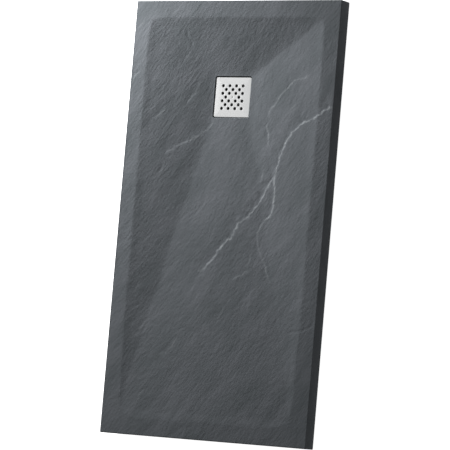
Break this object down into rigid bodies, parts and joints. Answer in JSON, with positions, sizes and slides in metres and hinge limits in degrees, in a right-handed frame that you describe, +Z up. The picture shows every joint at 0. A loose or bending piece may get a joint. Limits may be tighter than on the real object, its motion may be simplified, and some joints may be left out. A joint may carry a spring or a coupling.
{
  "type": "shower tray",
  "caption": "Low rectangular shower tray in dark slate-textured cast resin, falling to a square steel drain cover over a clamped waste and bottle-type trap with a level outlet.",
  "frame": {"origin": "centre of the tray's flat underside, on the bed that it is laid on; the trap hangs below this height", "axes": "+X across the tray, +Y along it towards the drain end, +Z up"},
  "size_m": [0.7, 1.3, 0.128],
  "materials": {
    "slate_resin": "satin",
    "stainless_cover": "satin",
    "rubber_feet": "matte",
    "black_abs": "matte",
    "stainless_screws": "satin",
    "rubber_seals": "matte",
    "grey_pp": "matte",
    "brass_inserts": "satin",
    "nut_pp": "matte",
    "dark_pp": "matte"
  },
  "bodies": {
    "tray": {"tray_slab": "slate_resin", "clamp_flange": "black_abs", "flange_screws": "stainless_screws", "flange_seal": "rubber_seals", "body_seal": "rubber_seals", "trap_head": "grey_pp", "screw_inserts": "brass_inserts", "trap_bowl": "grey_pp", "outlet_socket": "grey_pp", "cone_seal": "rubber_seals", "outlet_nut": "nut_pp"},
    "cover": {"drain_cover": "stainless_cover", "cover_feet": "rubber_feet"},
    "dip_tube": {"trap_insert": "dark_pp", "insert_ring": "rubber_seals"},
    "strainer": {"hair_strainer": "dark_pp"}
  },
  "joints": [
    {"name": "cover_lift", "type": "slide", "parent": "tray", "child": "cover", "axis": [0, 0, 1], "range_m": [0, 0.24]},
    {"name": "strainer_lift", "type": "slide", "parent": "tray", "child": "strainer", "axis": [0, 0, 1], "range_m": [0, 0.18]},
    {"name": "dip_tube_lift", "type": "slide", "parent": "tray", "child": "dip_tube", "axis": [0, 0, 1], "range_m": [0, 0.12]}
  ],
  "couplings": [
    {"joint": "strainer_lift", "follows": "cover_lift", "ratio": 0.75},
    {"joint": "dip_tube_lift", "follows": "cover_lift", "ratio": 0.5}
  ]
}
